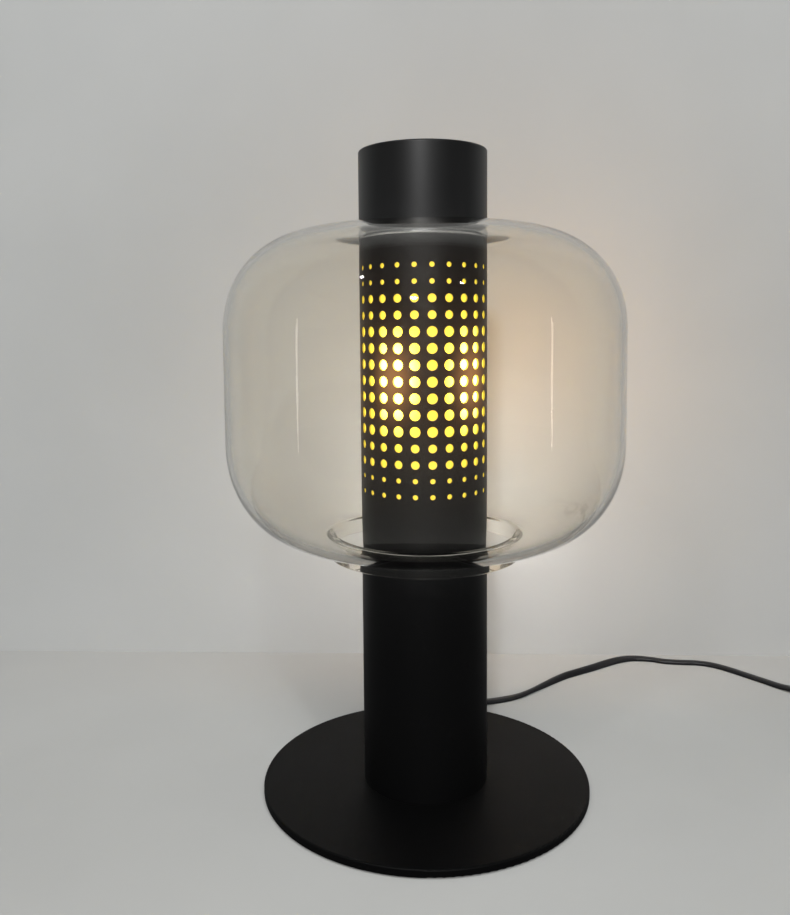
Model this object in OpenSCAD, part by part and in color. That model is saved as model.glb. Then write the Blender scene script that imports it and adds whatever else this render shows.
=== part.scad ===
// Lantern table lamp. A black tube stands on a round base. Its upper half is a lit, perforated
// screen inside a clear glass jar, which hangs between the tube's end and a black cap.
// Millimetres. The origin is on the table, on the column's axis. +Z is up, and the cord leaves at +Y.

/* [Base] */
// Diameter of the round base plate
base_d = 210; // [160:1:260]
// Thickness of the base plate
base_t = 5; // [4:0.5:10]
// Radius of the base plate's rounded edges
base_edge = 1; // [0.4:0.1:1.8]
// Thickness of the foam pad under the base
pad_t = 1; // [0.5:0.5:3]
// How far the pad stays inside the edge of the base plate
pad_inset = 3; // [1:1:10]
// Diameter of the circle that the base screws stand on
screw_circle_d = 48; // [30:1:56]
// Number of base screws
screw_count = 3; // [3:1:6]
// Thread diameter of the base screws
screw_d = 4; // [3:0.5:5]

/* [Column] */
// Outer diameter of the column and of the cap
tube_d = 80; // [72:1:96]
// Wall of the column tubes
tube_wall = 1.5; // [1:0.25:2.5]
// Length of the plain lower tube
column_h = 152; // [120:1:200]
// Length of the perforated upper tube
screen_h = 196; // [180:1:230]
// Thickness of the foot disc inside the lower tube
foot_t = 6; // [4:0.5:10]
// How far the coupling ring reaches into each tube
coupling_reach = 14; // [8:1:20]
// Wall of the coupling ring
coupling_wall = 4; // [2:0.5:6]
// Thickness of the coupling ring's web
web_t = 3; // [2:0.5:5]
// Height of the ring inside the top of the perforated tube
top_ring_h = 11; // [9:1:16]
// Wall of that ring
top_ring_wall = 2.8; // [1.5:0.1:3.2]

/* [Screen] */
// Rows of holes
hole_rows = 15; // [9:2:15]
// Holes around the tube
hole_columns = 24; // [12:1:26]
// Distance between rows
row_pitch = 9.9; // [8:0.1:10]
// Height of the middle row above the lower end of the screen
pattern_rise = 107; // [95:1:112]
// Hole diameter in the middle rows
hole_large = 6.4; // [4:0.1:7]
// Hole diameter in the next rows
hole_medium = 5.2; // [3:0.1:7]
// Hole diameter in the outer rows
hole_small = 3.2; // [2:0.1:7]
// Number of middle rows with large holes
large_rows = 7; // [3:2:9]
// Number of middle rows with large or medium holes
medium_rows = 11; // [5:2:13]
// Wall of the translucent sleeve behind the holes
sleeve_wall = 1.2; // [0.6:0.1:2]

/* [Glass] */
// Largest outer diameter of the glass
glass_d = 249; // [200:1:300]
// Height of the glass body, without its neck
glass_h = 197; // [170:1:205]
// Wall of the glass
glass_wall = 3.2; // [2:0.1:5]
// Outer diameter of the neck at the bottom
neck_d = 122; // [110:1:140]
// Length of the neck
neck_h = 9; // [4:1:15]
// Diameter of the flat part of the top
top_flat_d = 112; // [90:1:140]
// Height of the upper corner curve
top_corner_h = 65; // [40:1:85]
// Height of the lower corner curve
bottom_corner_h = 67; // [40:1:85]
// Exponent of the corner curves: 2 is an ellipse, more is squarer
corner_power = 2.2; // [2:0.1:3]
// How far the glass overlaps the end of the tube
glass_seat = 3; // [2:0.1:3.6]
// Thickness of the gasket under the glass
seat_gasket_t = 1.2; // [0.6:0.1:2]

/* [Cap] */
// Height of the cap
cap_h = 46.3; // [30:0.1:70]
// Wall of the cap
cap_wall = 1.5; // [1:0.25:2.5]
// Radius of the cap's upper edge
cap_edge = 1.2; // [0.4:0.1:3]
// Thickness of the gasket under the cap
cap_gasket_t = 1; // [0.5:0.1:2]
// How far the collar reaches into the tube
collar_drop = 9; // [5:1:20]
// How far the collar reaches into the cap
collar_rise = 12; // [8:1:24]
// Wall of the collar
collar_wall = 2; // [1:0.25:3]
// Thickness of the collar's flange
collar_flange_t = 4; // [2:0.5:6]

/* [Bulb and lampholder] */
// Diameter of the bulb
bulb_d = 60; // [40:1:62]
// Height of the bulb's glowing centre above the lampholder's seat
bulb_rise = 78; // [60:1:90]
// Wall of the bulb
bulb_wall = 1.6; // [1:0.1:2.5]
// Outer diameter of the screw cap of the bulb
screw_cap_d = 26; // [14:0.1:27]
// Length of the screw cap of the bulb
screw_cap_h = 22; // [16:1:25]
// Outer diameter of the lampholder
holder_d = 40; // [36:1:50]
// Height of the lampholder's dome
holder_dome_h = 18; // [15:0.5:24]
// Height of the lampholder's body
holder_body_h = 34; // [28:0.5:40]
// Wall of the lampholder
holder_wall = 2; // [1:0.25:3]
// Thickness of the ceramic insert
insert_t = 10; // [6:0.5:12]
// Outer diameter of the hollow nipple
nipple_d = 10; // [8:1:12]
// Bore of the nipple
nipple_bore_d = 6.6; // [5.6:0.1:7]
// Thickness of the nuts on the nipple
nut_t = 5; // [3:0.5:6]

/* [Cord] */
// Width of the flat twin cord
cord_w = 6; // [5:0.1:8]
// Thickness of the flat twin cord
cord_t = 3.6; // [3:0.1:5]
// Diameter of the round lead inside the column
inner_lead_d = 4.8; // [3:0.1:5.4]
// Height of the cord's exit above the top of the base
gland_rise = 14; // [12:1:30]
// Length of the strain relief's taper
gland_taper = 24; // [20:1:40]
// Flange diameter of the strain relief
gland_flange_d = 15; // [13:0.5:20]
// Diameter of the strain relief in the wall of the tube
gland_neck_d = 11; // [8:0.5:12]
// Loops in the coil, an even number
coil_loops = 6; // [2:2:8]
// Smallest radius at the middle of the coiled cord
coil_r = 26.5; // [20:0.5:40]
// Gap between neighbouring loops
coil_gap = 0.6; // [0.5:0.1:1.5]
// Thickness of the tie around the coil
tie_t = 1; // [0.6:0.1:2]
// Width of the tie
tie_w = 8; // [4:0.5:15]

/* [Switch] */
// Length of the in-line switch
switch_l = 62; // [56:1:80]
// Width of the in-line switch
switch_w = 25; // [24:0.5:34]
// Height of the lower shell
switch_base_h = 9; // [8:0.5:14]
// Height of the upper shell
switch_cover_h = 8; // [7.5:0.5:12]
// Wall of the switch shells
switch_wall = 1.8; // [1.2:0.1:2.4]
// Corner radius of the switch, seen from above
switch_corner = 6; // [2:0.5:11]
// Length of the rocker
rocker_l = 23; // [16:0.5:26]
// Width of the rocker
rocker_w = 12.4; // [8:0.2:13]
// Diameter of the rocker's pivot pins
pivot_d = 3; // [2:0.1:3.4]
// Tilt of the rocker to either side
rocker_tilt = 8; // [4:0.5:9]

/* [Plug] */
// Diameter of the plug's pins
pin_d = 4; // [3:0.1:5]
// Free length of the plug's pins
pin_l = 19; // [15:0.5:22]
// Distance between the pins
pin_spacing = 18.6; // [15:0.1:19]
// Length of the plug's body
plug_l = 36; // [28:1:45]
// Width of the plug's body
plug_w = 27; // [26:0.5:36]
// Thickness of the plug's body
plug_t = 13; // [10:0.5:18]
// Length of the plug's tapered tail
plug_tail = 22; // [15:1:35]

/* [Hidden] */
$fn = 96;

// Clearances: parts that are fixed together, parts that lift apart, and a running pivot.
fit_gap = 0.1;
lift_gap = 0.3;
run_gap = 0.06;
// Overlap that makes a cut run past a face.
past = 1;

// Column, from the table upwards.
base_top = pad_t + base_t;
tube_r = tube_d / 2;
tube_ri = tube_r - tube_wall;
lining_r = tube_ri - fit_gap;
column_top = base_top + column_h;
screen_top = column_top + screen_h;
web_top = column_top + web_t;
coupling_top = column_top + coupling_reach;
top_ring_ri = lining_r - top_ring_wall;
sleeve_r = tube_ri - lift_gap;
sleeve_top = screen_top - top_ring_h - lift_gap;
pattern_z = column_top + pattern_rise;

// Glass: its upper face, its shoulder above the neck, and the hole that the cap's collar passes.
glass_r = glass_d / 2;
glass_low = screen_top + seat_gasket_t;
glass_top = glass_low + glass_wall;
shoulder_z = glass_top - glass_h;
glass_hole_r = tube_r - glass_seat;
corner_steps = 14;

// Cap.
cap_low = glass_top + cap_gasket_t;
cap_ri = tube_r - cap_wall;
cap_roof_t = 2;
collar_r = top_ring_ri - lift_gap;
gasket_inset = 0.5;

// Lampholder and bulb.
nipple_drop = 10;
nut_d = nipple_d * 1.7;
holder_r = holder_d / 2;
holder_floor_t = 2;
dome_top = web_top + holder_dome_h;
insert_ledge = 3;
insert_low = dome_top - insert_ledge;
insert_top = insert_low + insert_t;
contact_t = 1;
bulb_low = insert_top + contact_t + run_gap;
bulb_z = bulb_low + bulb_rise;
bulb_r = bulb_d / 2;
bulb_contact_h = 3;
screw_cap_low = bulb_low + bulb_contact_h;
screw_cap_top = screw_cap_low + screw_cap_h;
bulb_collar_h = 4;
globe_low = screw_cap_top + bulb_collar_h;
globe_neck_r = screw_cap_d / 2 + 2;
globe_tangent = 20;
shell_wall = 0.7;
shell_h = screw_cap_h + bulb_contact_h;

// Cord exit at the back of the column.
gland_z = base_top + gland_rise;
gland_flange_t = 2.5;
gland_flange_r = gland_flange_d / 2;
gland_inner_y = sqrt(tube_ri * tube_ri - gland_flange_r * gland_flange_r) - run_gap;
gland_start = gland_inner_y - gland_flange_t;
gland_out_y = tube_r + run_gap;
gland_end = gland_out_y + gland_flange_t + gland_taper;
gland_tip_r = cord_w / 2 + 0.6;

// Places of the switch, the coil and the plug on the table, and the turn of the switch.
switch_at = [330, 105];
switch_turn = -51;
coil_at = [332, 18];
switch_cord_z = 6;
switch_run = 8;
switch_dir = [cos(switch_turn), sin(switch_turn)];
switch_in = switch_at - switch_dir * (switch_l / 2);
switch_out = switch_at + switch_dir * (switch_l / 2);
switch_in_run = switch_in - switch_dir * switch_run;
switch_out_run = switch_out + switch_dir * switch_run;
switch_lift = switch_cord_z - cord_t / 2;

// Coil: the cord stands on edge, spirals in on the table and out again on top of itself.
coil_pitch = cord_t + coil_gap;
coil_layer = cord_w + coil_gap;
coil_lift = tie_t + lift_gap / 2;
coil_steps = 24;
coil_r_out = coil_r + coil_pitch * coil_loops / 2;
coil_start = [coil_at[0] + coil_r_out, coil_at[1]];
coil_in = coil_start + [0, cord_w];
coil_out = coil_start - [0, cord_w];
plug_z = plug_t / 2;
plug_at = coil_out - [0, 56];
plug_in = plug_at + [0, 8];

// Routes of the cord: x, y, height of its underside above the table, and roll (90 is on edge).
lead_route = [
    [0, gland_end, gland_z - cord_t / 2, 0], [0, 78, gland_z - cord_t / 2, 0], [1, 90, 16, 0], [5, 100, 11.5, 0],
    [13, 107, 7.5, 0], [25, 112, 4.5, 0], [37, 116, 2, 0], [50, 120, 0.5, 0], [62, 125, 0, 0],
    [74, 131, 0, 15], [85, 140, 0, 35], [96, 150, 0, 60], [107, 161, 0, 80], [119, 172, 0, 90],
    [132, 181, 0, 90], [145, 190, 0, 100], [158, 200, 0, 120], [171, 209, 0, 145], [184, 214, 0, 165],
    [198, 213, 0, 180], [211, 208, 0, 180], [225, 206, 0, 180], [238, 205, 0, 180], [250, 200, 0, 180],
    [261, 190, 0, 180], [271, 178, 0, 180], [281, 166, 0, 180], [290, 154, 0.5, 180], [299, 143, 2.5, 180],
    [switch_in_run[0], switch_in_run[1], switch_lift, 180], [switch_in[0], switch_in[1], switch_lift, 180]
];
switch_route = [
    [switch_out[0], switch_out[1], switch_lift, 0], [switch_out_run[0], switch_out_run[1], switch_lift, 0],
    [362, 64, 2.5, 30], [367, 54, 1.5, 60], [370, 43, coil_lift, 90], [coil_in[0], 34, coil_lift, 90],
    [coil_in[0], coil_in[1], coil_lift, 90]
];
plug_route = [
    [coil_out[0], coil_out[1], coil_lift + coil_layer, 90], [coil_out[0], 2, coil_lift + coil_layer, 90],
    [coil_out[0], -10, 6.5, 75], [coil_out[0], -20, 5, 50], [coil_out[0], -28, 4.6, 25],
    [plug_in[0], plug_in[1], plug_z - cord_t / 2, 0], [plug_at[0], plug_at[1], plug_z - cord_t / 2, 0]
];
// Route of the lead inside the column, as points of its centre line.
inner_route = [
    [0, gland_start, gland_z], [0, 27, gland_z], [0, 19, 23], [0, 12, 31], [0, 6, 44], [0, 2, 61],
    [0, 0, 80], [0, 0, 100], [0, 0, 120], [0, 0, insert_low]
];

// Switch.
switch_h = switch_base_h + switch_cover_h;
pivot_z = switch_base_h + switch_cover_h / 2;
rocker_deep = 3;
rocker_end_rise = 5;
rocker_dip = 1.6;
pivot_reach = 1.8;
cheek_t = 2.4;
window_gap = 1;
switch_screw_x = switch_l / 2 - 7;
switch_screw_d = 3;
pillar_r = 4;
screw_head_r = 2.8;
screw_head_t = 1.6;
screw_bite = 4;
terminal_size = [10, 4, 5];
terminal_y = 5;

// Plug.
plug_nose = 8;
plug_tail_w = 12;
plug_tail_r = 5.5;
plug_tail_tip_r = cord_w / 2 + 0.5;
pin_root_d = pin_d - 1;
pin_root_l = 10;
pin_tip = 1.5;

// Sweep of a closed section along a route, as triangles. Each ring has its own frame.
function unit(v) = v / norm(v);
function heading(p, i) = unit(p[min(i + 1, len(p) - 1)] - p[max(i - 1, 0)]);
function end_heading(p, i) = i == 0 ? unit(p[1] - p[0]) : i == len(p) - 1 ? unit(p[i] - p[i - 1]) : heading(p, i);
function sideways(t) = unit(cross(t, [0, 0, 1]));
function ring(c, t, side, section, roll) =
    let (up = cross(side, t))
    let (wide = side * cos(roll) + up * sin(roll))
    let (thick = up * cos(roll) - side * sin(roll))
    [for (s = section) c + wide * s[0] + thick * s[1]];
function tube_faces(rings, sides) = concat(
    [for (i = [0 : rings - 2]) for (j = [0 : sides - 1])
        [i * sides + j, i * sides + (j + 1) % sides, (i + 1) * sides + j]],
    [for (i = [0 : rings - 2]) for (j = [0 : sides - 1])
        [i * sides + (j + 1) % sides, (i + 1) * sides + (j + 1) % sides, (i + 1) * sides + j]],
    [for (j = [1 : sides - 2]) [0, j + 1, j]],
    [for (j = [1 : sides - 2]) (rings - 1) * sides * [1, 1, 1] + [0, j, j + 1]]);

// Section of the flat cord: two half rounds joined by flats, ten sides.
flat_half = (cord_w - cord_t) / 2;
flat_section = concat(
    [for (a = [-90 : 45 : 90]) [flat_half + cord_t / 2 * cos(a), cord_t / 2 * sin(a)]],
    [for (a = [90 : 45 : 270]) [-flat_half + cord_t / 2 * cos(a), cord_t / 2 * sin(a)]]);
// Section of the coiled cord: six sides, flat where loops lie on each other.
coil_section = [
    [cord_w / 2, -cord_t / 4], [cord_w / 2, cord_t / 4], [0, cord_t / 2],
    [-cord_w / 2, cord_t / 4], [-cord_w / 2, -cord_t / 4], [0, -cord_t / 2]
];
// Height of the flat cord's centre above its underside at a roll.
function half_height(roll) = cord_t / 2 + flat_half * abs(sin(roll));

// Glass profile: a corner from the end of a flat at (r0, z0) to the wall at (r1, z1).
function corner(r0, z0, r1, z1) = [
    for (k = [0 : corner_steps])
        let (a = 90 * k / corner_steps)
        [r0 + (r1 - r0) * pow(sin(a), 2 / corner_power), z1 + (z0 - z1) * pow(cos(a), 2 / corner_power)]
];
function backwards(list) = [for (k = [len(list) - 1 : -1 : 0]) list[k]];

// Hole diameter in a row, counted from the middle row.
function hole_d(row) =
    abs(row) <= (large_rows - 1) / 2 ? hole_large : abs(row) <= (medium_rows - 1) / 2 ? hole_medium : hole_small;

// Centre of the coiled cord after a number of turns, clockwise from the +X side.
function coil_height(t) = min(max((t - coil_loops / 2) * 2 + 0.5, 0), 1) * coil_layer;
function coil_point(t) =
    let (r = coil_r + coil_pitch * abs(t - coil_loops / 2))
    [coil_at[0] + r * cos(360 * t), coil_at[1] - r * sin(360 * t), coil_lift + cord_w / 2 + coil_height(t)];
coil_path = concat(
    [[coil_in[0], coil_in[1], coil_lift + cord_w / 2]],
    [for (k = [0 : coil_loops * coil_steps]) coil_point(k / coil_steps)],
    [[coil_out[0], coil_out[1], coil_lift + cord_w / 2 + coil_layer]]);
function coil_heading(i) =
    i == 0 || i == len(coil_path) - 1 ? [0, -1, 0] : heading(coil_path, i);
coil_rings = [for (i = [0 : len(coil_path) - 1])
    let (t = coil_heading(i)) ring(coil_path[i], t, sideways(t), coil_section, 90)];
// Least distance between points of the coil that are a whole number of loops apart.
function least_coil_gap() = min([
    for (i = [1 : len(coil_rings) - 2]) for (k = [1 : coil_loops]) for (d = [-1 : 1])
        let (j = i + k * coil_steps + d)
        if (j < len(coil_rings) - 1) for (a = coil_rings[i]) for (b = coil_rings[j]) norm(a - b)
]);

// Sub-shapes that repeat.
module tube(r, ri, z0, z1) {
    difference() {
        translate([0, 0, z0]) cylinder(r = r, h = z1 - z0);
        translate([0, 0, z0 - past]) cylinder(r = ri, h = z1 - z0 + 2 * past);
    }
}
module disc(r, z0, z1) {
    translate([0, 0, z0]) cylinder(r = r, h = z1 - z0);
}
module rounded_rect(l, w, r) {
    square([l - 2 * r, w], center = true);
    square([l, w - 2 * r], center = true);
    for (sx = [-1, 1])
        for (sy = [-1, 1])
            translate([sx * (l / 2 - r), sy * (w / 2 - r)]) circle(r = r);
}
module around_screws() {
    for (k = [0 : screw_count - 1])
        rotate([0, 0, 360 * k / screw_count + 30]) translate([screw_circle_d / 2, 0, 0]) children();
}
module countersunk(d, z0, length) {
    translate([0, 0, z0]) cylinder(r1 = d, r2 = d / 2, h = d / 2);
    translate([0, 0, z0]) cylinder(r = d / 2, h = length);
}
module flat_cord(route) {
    path = [for (p = route) [p[0], p[1], p[2] + half_height(p[3])]];
    rings = [for (i = [0 : len(path) - 1])
        let (t = end_heading(path, i)) ring(path[i], t, sideways(t), flat_section, route[i][3])];
    polyhedron([for (r = rings) for (p = r) p], tube_faces(len(rings), len(flat_section)), convexity = 8);
}
module at_switch() {
    translate([switch_at[0], switch_at[1], 0]) rotate([0, 0, switch_turn]) children();
}
module at_switch_screws() {
    for (s = [-1, 1])
        translate([s * switch_screw_x, 0, 0]) children();
}
module at_plug() {
    translate([plug_at[0], plug_at[1], plug_z]) rotate([0, 0, -90]) children();
}
module at_pins() {
    for (s = [-1, 1])
        translate([plug_tail + plug_l, s * pin_spacing / 2, 0]) rotate([0, 90, 0]) children();
}

// Base and column.
module base_pad() {
    color("dimgray") disc(base_d / 2 - pad_inset, 0, pad_t);
}
module base_plate() {
    color([0.06, 0.06, 0.06]) difference() {
        translate([0, 0, pad_t]) rotate_extrude() {
            square([base_d / 2 - base_edge, base_t]);
            translate([0, base_edge]) square([base_d / 2, base_t - 2 * base_edge]);
            for (z = [base_edge, base_t - base_edge])
                translate([base_d / 2 - base_edge, z]) circle(r = base_edge);
        }
        around_screws() translate([0, 0, pad_t - past]) cylinder(r = screw_d / 2 + fit_gap, h = base_t + 2 * past);
        around_screws() translate([0, 0, pad_t - fit_gap])
            cylinder(r1 = screw_d + 2 * fit_gap, r2 = screw_d / 2 + fit_gap, h = screw_d / 2 + fit_gap);
    }
}
module base_screws() {
    color("silver") around_screws() countersunk(screw_d, pad_t, base_t + foot_t - past);
}
module column_foot() {
    color("gray") difference() {
        disc(lining_r, base_top, base_top + foot_t);
        around_screws() translate([0, 0, base_top - past]) cylinder(r = screw_d / 2 + fit_gap, h = foot_t + 2 * past);
    }
}
module column_tube() {
    color([0.06, 0.06, 0.06]) difference() {
        tube(tube_r, tube_ri, base_top, column_top);
        translate([0, 0, gland_z]) rotate([-90, 0, 0]) cylinder(d = gland_neck_d + 2 * fit_gap, h = tube_r + past);
    }
}
module coupling_ring() {
    color("gray") {
        tube(lining_r, lining_r - coupling_wall, column_top - coupling_reach, coupling_top);
        difference() {
            disc(lining_r - coupling_wall / 2, column_top, web_top);
            disc(nipple_d / 2 + fit_gap, column_top - past, web_top + past);
        }
    }
}
module screen_tube() {
    color([0.06, 0.06, 0.06]) difference() {
        tube(tube_r, tube_ri, column_top, screen_top);
        for (c = [0 : hole_columns - 1])
            for (row = [-(hole_rows - 1) / 2 : (hole_rows - 1) / 2])
                rotate([0, 0, (c + 0.5) * 360 / hole_columns])
                    translate([tube_ri - past, 0, pattern_z + row * row_pitch])
                        rotate([0, 90, 0]) cylinder(d = hole_d(row), h = tube_wall + 2 * past, $fn = 24);
    }
}
module diffuser_sleeve() {
    color([1, 0.9, 0.45]) tube(sleeve_r, sleeve_r - sleeve_wall, coupling_top, sleeve_top);
}
module top_ring() {
    color("gray") tube(lining_r, top_ring_ri, screen_top - top_ring_h, screen_top);
}
module seat_gasket() {
    color("whitesmoke") tube(tube_r, top_ring_ri + gasket_inset, screen_top, glass_low);
}

// Lampholder.
module holder_nipple() {
    color("silver") tube(nipple_d / 2, nipple_bore_d / 2, column_top - nipple_drop, web_top + nipple_drop);
}
module holder_nuts() {
    color("silver") for (z = [column_top - nut_t, web_top + holder_floor_t])
        difference() {
            translate([0, 0, z]) cylinder(d = nut_d, h = nut_t, $fn = 6);
            disc(nipple_d / 2 + run_gap, z - past, z + nut_t + past);
        }
}
module holder_dome() {
    color("white") difference() {
        disc(holder_r, web_top, dome_top);
        disc(nipple_d / 2 + fit_gap, web_top - past, dome_top);
        disc(holder_r - holder_wall - insert_ledge, web_top + holder_floor_t, dome_top + past);
        disc(holder_r - holder_wall, insert_low, dome_top + past);
    }
}
module holder_body() {
    color("white") tube(holder_r, holder_r - holder_wall, dome_top, dome_top + holder_body_h);
}
module holder_insert() {
    color("ivory") disc(holder_r - holder_wall - fit_gap, insert_low, insert_top);
}
module holder_shell() {
    color("goldenrod") tube(screw_cap_d / 2 + lift_gap + shell_wall, screw_cap_d / 2 + lift_gap,
        insert_top, insert_top + shell_h);
}
module holder_contact() {
    color("goldenrod") disc(screw_cap_d / 6, insert_top, insert_top + contact_t);
}

// Bulb.
module bulb_half(shrink) {
    r = bulb_r - shrink;
    tangent = [r * cos(globe_tangent), bulb_z - r * sin(globe_tangent)];
    polygon([[0, globe_low - shrink], [globe_neck_r - shrink, globe_low - shrink], tangent, [0, tangent[1]]]);
    intersection() {
        translate([0, bulb_z]) circle(r = r);
        translate([0, bulb_z - r]) square([r, 2 * r]);
    }
}
module bulb_globe() {
    color("white") rotate_extrude() difference() {
        bulb_half(0);
        bulb_half(bulb_wall);
    }
}
module bulb_collar() {
    color("whitesmoke") translate([0, 0, screw_cap_top])
        cylinder(r1 = screw_cap_d / 2, r2 = globe_neck_r, h = bulb_collar_h);
}
module bulb_cap() {
    thread = 1.2;
    ribs = floor((screw_cap_h - 2 * thread) / (3 * thread));
    color("silver") rotate_extrude() {
        translate([0, screw_cap_low]) square([screw_cap_d / 2 - thread, screw_cap_h]);
        for (k = [0 : ribs - 1])
            translate([screw_cap_d / 2 - thread, screw_cap_low + (3 * k + 2) * thread]) circle(r = thread);
    }
}
module bulb_contact() {
    color("goldenrod") translate([0, 0, bulb_low])
        cylinder(r1 = screw_cap_d / 6, r2 = screw_cap_d / 2.6, h = bulb_contact_h);
}

// Glass and cap.
module glass_shade() {
    neck_r = neck_d / 2;
    flat_r = top_flat_d / 2;
    inner_r = glass_r - glass_wall;
    top_z = glass_top - top_corner_h;
    low_z = shoulder_z + bottom_corner_h;
    color([0.85, 0.8, 0.72, 0.35]) rotate_extrude() polygon(concat(
        [[glass_hole_r, glass_top]],
        corner(flat_r, glass_top, glass_r, top_z),
        backwards(corner(neck_r, shoulder_z, glass_r, low_z)),
        [[neck_r, shoulder_z - neck_h], [neck_r - glass_wall, shoulder_z - neck_h]],
        corner(neck_r - glass_wall, shoulder_z + glass_wall, inner_r, low_z),
        backwards(corner(flat_r, glass_low, inner_r, top_z)),
        [[glass_hole_r, glass_low]]));
}
module cap_gasket() {
    color("whitesmoke") tube(tube_r - gasket_inset, glass_hole_r, glass_top, cap_low);
}
module cap_shell() {
    color([0.06, 0.06, 0.06]) difference() {
        translate([0, 0, cap_low]) rotate_extrude() {
            square([tube_r - cap_edge, cap_h]);
            square([tube_r, cap_h - cap_edge]);
            translate([tube_r - cap_edge, cap_h - cap_edge]) circle(r = cap_edge);
        }
        disc(cap_ri, cap_low - past, cap_low + cap_h - cap_roof_t);
    }
}
module cap_collar() {
    flange_top = cap_low + collar_rise;
    color("gray") {
        tube(collar_r, collar_r - collar_wall, screen_top - collar_drop, flange_top);
        tube(cap_ri - fit_gap, collar_r - collar_wall / 2, flange_top - collar_flange_t, flange_top);
    }
}

// Cord.
module inner_lead() {
    sides = 8;
    section = [for (k = [0 : sides - 1]) inner_lead_d / 2 * [cos(360 * k / sides), sin(360 * k / sides)]];
    rings = [for (i = [0 : len(inner_route) - 1])
        ring(inner_route[i], end_heading(inner_route, i), [-1, 0, 0], section, 0)];
    color("dimgray") polyhedron([for (r = rings) for (p = r) p], tube_faces(len(rings), sides), convexity = 4);
}
module cord_gland() {
    color([0.05, 0.05, 0.05]) translate([0, 0, gland_z]) rotate([-90, 0, 0]) {
        disc(gland_flange_r, gland_start, gland_inner_y);
        disc(gland_neck_d / 2, gland_start, gland_out_y + gland_flange_t);
        disc(gland_flange_r, gland_out_y, gland_out_y + gland_flange_t);
        translate([0, 0, gland_out_y])
            cylinder(r1 = gland_neck_d / 2, r2 = gland_tip_r, h = gland_flange_t + gland_taper);
    }
}
module lead_cord() {
    color([0.05, 0.05, 0.05]) flat_cord(lead_route);
}
module switch_lead() {
    color([0.05, 0.05, 0.05]) flat_cord(switch_route);
}
module plug_lead() {
    color([0.05, 0.05, 0.05]) flat_cord(plug_route);
}
module cord_coil() {
    echo("least gap of the coil to itself, mm", least_coil_gap());
    color([0.05, 0.05, 0.05]) polyhedron([for (r = coil_rings) for (p = r) p],
        tube_faces(len(coil_rings), len(coil_section)), convexity = 12);
}
module cord_tie() {
    low_r = coil_r - cord_t / 2 - coil_gap;
    wide = coil_r_out - coil_r + cord_t + 2 * coil_gap;
    high = coil_lift + coil_layer + cord_w + lift_gap / 2 - tie_t;
    color("black") translate([coil_at[0] - low_r - wide, coil_at[1], 0]) difference() {
        translate([-tie_t, -tie_w / 2, 0]) cube([wide + 2 * tie_t, tie_w, high + 2 * tie_t]);
        translate([0, -tie_w / 2 - past, tie_t]) cube([wide, tie_w + 2 * past, high]);
    }
}

// In-line switch.
module switch_base() {
    color([0.05, 0.05, 0.05]) at_switch() difference() {
        union() {
            difference() {
                linear_extrude(switch_base_h) rounded_rect(switch_l, switch_w, switch_corner);
                translate([0, 0, switch_wall]) linear_extrude(switch_base_h)
                    rounded_rect(switch_l - 2 * switch_wall, switch_w - 2 * switch_wall, switch_corner - switch_wall);
            }
            at_switch_screws() cylinder(r = pillar_r, h = switch_base_h);
        }
        at_switch_screws() translate([0, 0, -past])
            cylinder(r = switch_screw_d / 2 + fit_gap, h = switch_base_h + 2 * past);
        at_switch_screws() translate([0, 0, -past])
            cylinder(r = screw_head_r + fit_gap, h = past + 2 * screw_head_t);
    }
}
module switch_cover() {
    cheek_low = pivot_z - pivot_d;
    window_w = rocker_w + 2 * lift_gap;
    color([0.05, 0.05, 0.05]) at_switch() difference() {
        union() {
            difference() {
                translate([0, 0, switch_base_h]) linear_extrude(switch_cover_h)
                    rounded_rect(switch_l, switch_w, switch_corner);
                translate([0, 0, switch_base_h - past]) linear_extrude(switch_cover_h - switch_wall + past)
                    rounded_rect(switch_l - 2 * switch_wall, switch_w - 2 * switch_wall, switch_corner - switch_wall);
            }
            at_switch_screws() translate([0, 0, switch_base_h]) cylinder(r = pillar_r, h = switch_cover_h - past / 2);
            for (s = [-1, 1])
                translate([-pivot_d, s * (window_w + cheek_t) / 2 - cheek_t / 2, cheek_low])
                    cube([2 * pivot_d, cheek_t, switch_h - past / 2 - cheek_low]);
        }
        translate([0, 0, switch_h]) cube([rocker_l + 2 * window_gap, window_w, 4 * switch_wall], center = true);
        translate([0, 0, pivot_z]) rotate([90, 0, 0])
            cylinder(d = pivot_d + 2 * run_gap, h = window_w + 2 * cheek_t - past, center = true);
        at_switch_screws() translate([0, 0, switch_base_h - past])
            cylinder(r = switch_screw_d / 2 + fit_gap, h = screw_bite + 2 * past);
    }
}
module switch_rocker() {
    half = rocker_l / 2;
    color("whitesmoke") at_switch() translate([0, 0, pivot_z]) rotate([90, -rocker_tilt, 0]) {
        linear_extrude(rocker_w, center = true) polygon([
            [-half + rocker_dip, -rocker_deep], [half - rocker_dip, -rocker_deep],
            [half, rocker_end_rise], [0, rocker_end_rise - rocker_dip], [-half, rocker_end_rise]]);
        cylinder(d = pivot_d, h = rocker_w + 2 * pivot_reach, center = true);
    }
}
module switch_screws() {
    color("silver") at_switch() at_switch_screws() {
        translate([0, 0, screw_head_t]) cylinder(r = screw_head_r, h = screw_head_t);
        translate([0, 0, screw_head_t]) cylinder(d = switch_screw_d, h = switch_base_h + screw_bite - screw_head_t);
    }
}
module switch_terminals() {
    color("goldenrod") at_switch() for (s = [-1, 1])
        translate([-terminal_size[0] / 2, s * terminal_y - terminal_size[1] / 2, switch_wall]) cube(terminal_size);
}

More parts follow.
